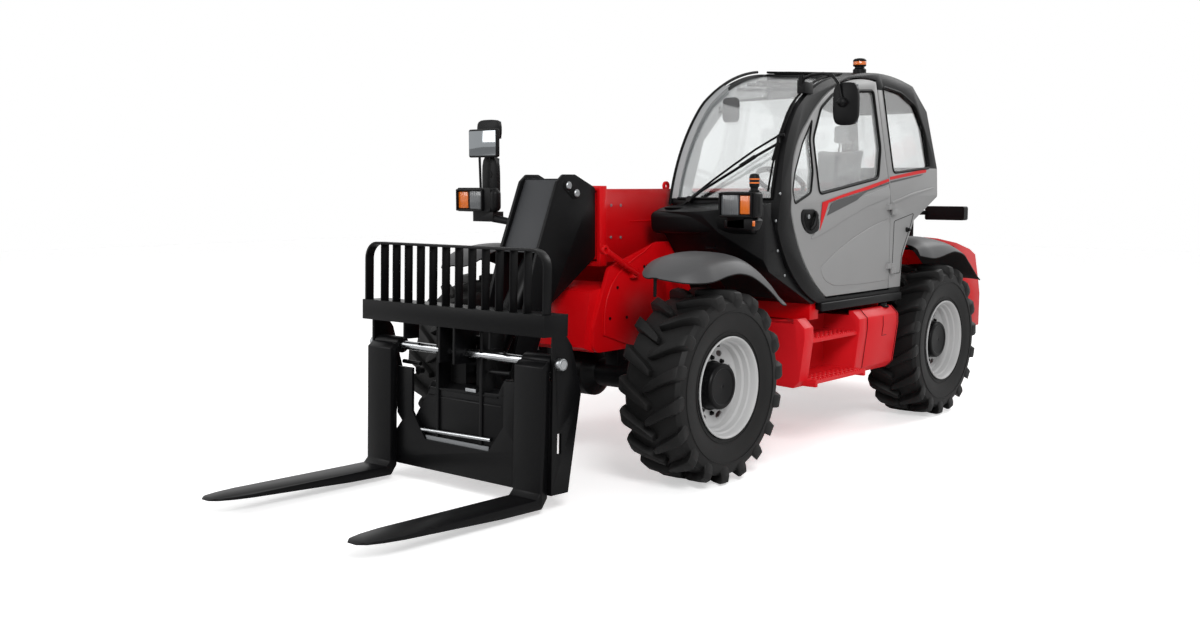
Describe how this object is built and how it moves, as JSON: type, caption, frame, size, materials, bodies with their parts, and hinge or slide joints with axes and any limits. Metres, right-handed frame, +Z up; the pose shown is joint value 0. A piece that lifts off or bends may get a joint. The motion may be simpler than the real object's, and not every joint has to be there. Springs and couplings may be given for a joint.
{
  "type": "telehandler",
  "caption": "Telescopic handler with all-wheel steering, side cab, extending boom, tilting fork carriage, opening door and engine hood.",
  "frame": {"origin": "middle of the overall length and width, mirrors included, at ground level", "axes": "-Y to the front (forks), +X to the left side (cab), +Z up"},
  "size_m": [2.6206, 7.0501, 2.83],
  "materials": {
    "black_paint": "satin black powder coat",
    "chromed_rod": "hard chromed steel",
    "clear_glass": "clear safety glass",
    "dark_plastic": "moulded dark grey plastic",
    "grey_panel": "satin grey panel",
    "red_paint": "satin red powder coat",
    "rim_silver": "silver painted steel",
    "seat_fabric": "woven seat fabric",
    "steel": "cast iron, painted",
    "tyre_rubber": "deep lugged tyre rubber"
  },
  "bodies": {
    "chassis": {"beacon": "dark_plastic", "cab_frame": "dark_plastic", "cab_glass": "clear_glass", "cab_panel": "grey_panel", "chassis_frame": "red_paint", "counterweight": "red_paint", "cowl": "dark_plastic", "engine_bay": "red_paint", "engine_block": "steel", "front_axle": "black_paint", "front_fenders": "dark_plastic", "fuel_tank": "red_paint", "lamps": "dark_plastic", "mirrors": "dark_plastic", "rear_axle": "black_paint", "rear_box": "dark_plastic", "rear_fenders": "dark_plastic", "seat": "seat_fabric", "steering_column": "dark_plastic", "steps": "red_paint"},
    "wheel_fl": {"rim_fl": "rim_silver", "tyre_fl": "tyre_rubber"},
    "wheel_fr": {"rim_fr": "rim_silver", "tyre_fr": "tyre_rubber"},
    "wheel_rl": {"rim_rl": "rim_silver", "tyre_rl": "tyre_rubber"},
    "wheel_rr": {"rim_rr": "rim_silver", "tyre_rr": "tyre_rubber"},
    "knuckle_fl": {"knuckle_fl": "black_paint"},
    "knuckle_fr": {"knuckle_fr": "black_paint"},
    "knuckle_rl": {"knuckle_rl": "black_paint"},
    "knuckle_rr": {"knuckle_rr": "black_paint"},
    "boom": {"boom_outer": "red_paint"},
    "telescope": {"boom_inner": "red_paint", "boom_head": "black_paint"},
    "carriage": {"tool_carrier": "black_paint", "carriage_frame": "black_paint", "backrest_guard": "black_paint", "fork_shaft": "chromed_rod"},
    "fork_left": {"fork_left": "black_paint"},
    "fork_right": {"fork_right": "black_paint"},
    "lift_barrel": {"lift_barrel": "black_paint"},
    "lift_rod": {"lift_rod": "chromed_rod"},
    "tilt_barrel": {"tilt_barrel": "black_paint"},
    "tilt_rod": {"tilt_rod": "chromed_rod"},
    "door": {"door": "grey_panel", "door_glass": "clear_glass"},
    "hood": {"engine_hood": "red_paint"}
  },
  "joints": [
    {"name": "steer_fl", "type": "hinge", "parent": "chassis", "child": "knuckle_fl", "pos_m": [0.69025, -0.95104, 0.615], "axis": [0, 0, 1], "range_deg": [-35, 35]},
    {"name": "roll_fl", "type": "hinge", "parent": "knuckle_fl", "child": "wheel_fl", "pos_m": [0.84825, -0.95104, 0.615], "axis": [1, 0, 0], "continuous": true},
    {"name": "steer_fr", "type": "hinge", "parent": "chassis", "child": "knuckle_fr", "pos_m": [-0.92975, -0.95104, 0.615], "axis": [0, 0, 1], "range_deg": [-35, 35]},
    {"name": "roll_fr", "type": "hinge", "parent": "knuckle_fr", "child": "wheel_fr", "pos_m": [-1.08775, -0.95104, 0.615], "axis": [1, 0, 0], "continuous": true},
    {"name": "steer_rl", "type": "hinge", "parent": "chassis", "child": "knuckle_rl", "pos_m": [0.69025, 2.15496, 0.615], "axis": [0, 0, 1], "range_deg": [-35, 35]},
    {"name": "roll_rl", "type": "hinge", "parent": "knuckle_rl", "child": "wheel_rl", "pos_m": [0.84825, 2.15496, 0.615], "axis": [1, 0, 0], "continuous": true},
    {"name": "steer_rr", "type": "hinge", "parent": "chassis", "child": "knuckle_rr", "pos_m": [-0.92975, 2.15496, 0.615], "axis": [0, 0, 1], "range_deg": [-35, 35]},
    {"name": "roll_rr", "type": "hinge", "parent": "knuckle_rr", "child": "wheel_rr", "pos_m": [-1.08775, 2.15496, 0.615], "axis": [1, 0, 0], "continuous": true},
    {"name": "boom_lift", "type": "hinge", "parent": "chassis", "child": "boom", "pos_m": [-0.11975, 2.59896, 1.62], "axis": [-1, 0, 0], "range_deg": [0, 62]},
    {"name": "boom_extend", "type": "slide", "parent": "boom", "child": "telescope", "axis": [0, -1, 0], "range_m": [0, 2]},
    {"name": "carriage_tilt", "type": "hinge", "parent": "telescope", "child": "carriage", "pos_m": [-0.11975, -1.88104, 0.38], "axis": [1, 0, 0], "range_deg": [-11, 110]},
    {"name": "fork_left_shift", "type": "slide", "parent": "carriage", "child": "fork_left", "axis": [-1, 0, 0], "range_m": [0, 0.33]},
    {"name": "fork_right_shift", "type": "slide", "parent": "carriage", "child": "fork_right", "axis": [1, 0, 0], "range_m": [0, 0.33]},
    {"name": "door_hinge", "type": "hinge", "parent": "chassis", "child": "door", "pos_m": [0.97425, 1.34896, 1.4], "axis": [0, 0, 1], "range_deg": [0, 95]},
    {"name": "hood_hinge", "type": "hinge", "parent": "chassis", "child": "hood", "pos_m": [-0.47175, 0.64896, 1.43], "axis": [0, 1, 0], "range_deg": [0, 60]},
    {"name": "lift_barrel_pivot", "type": "hinge", "parent": "chassis", "child": "lift_barrel", "pos_m": [-0.11975, 1.89896, 0.95], "axis": [-1, 0, 0], "range_deg": [0, 64.2]},
    {"name": "lift_rod_slide", "type": "slide", "parent": "lift_barrel", "child": "lift_rod", "axis": [0, -0.9769, 0.2139], "range_m": [0, 1.007]},
    {"name": "tilt_barrel_pivot", "type": "hinge", "parent": "telescope", "child": "tilt_barrel", "pos_m": [-0.11975, -1.23104, 1.8], "axis": [1, 0, 0], "range_deg": [-2, 2]},
    {"name": "tilt_rod_slide", "type": "slide", "parent": "tilt_barrel", "child": "tilt_rod", "axis": [0, -0.5412, -0.8409], "range_m": [-0.059, 0.543]}
  ],
  "couplings": [
    {"joint": "steer_fr", "follows": "steer_fl", "ratio": 1},
    {"joint": "steer_rr", "follows": "steer_rl", "ratio": 1},
    {"joint": "lift_barrel_pivot", "follows": "boom_lift", "ratio": 1.0195},
    {"joint": "lift_rod_slide", "follows": "boom_lift", "m_per_rad": 0.92169},
    {"joint": "tilt_barrel_pivot", "follows": "carriage_tilt", "ratio": -0.01},
    {"joint": "tilt_rod_slide", "follows": "carriage_tilt", "m_per_rad": 0.28032}
  ]
}
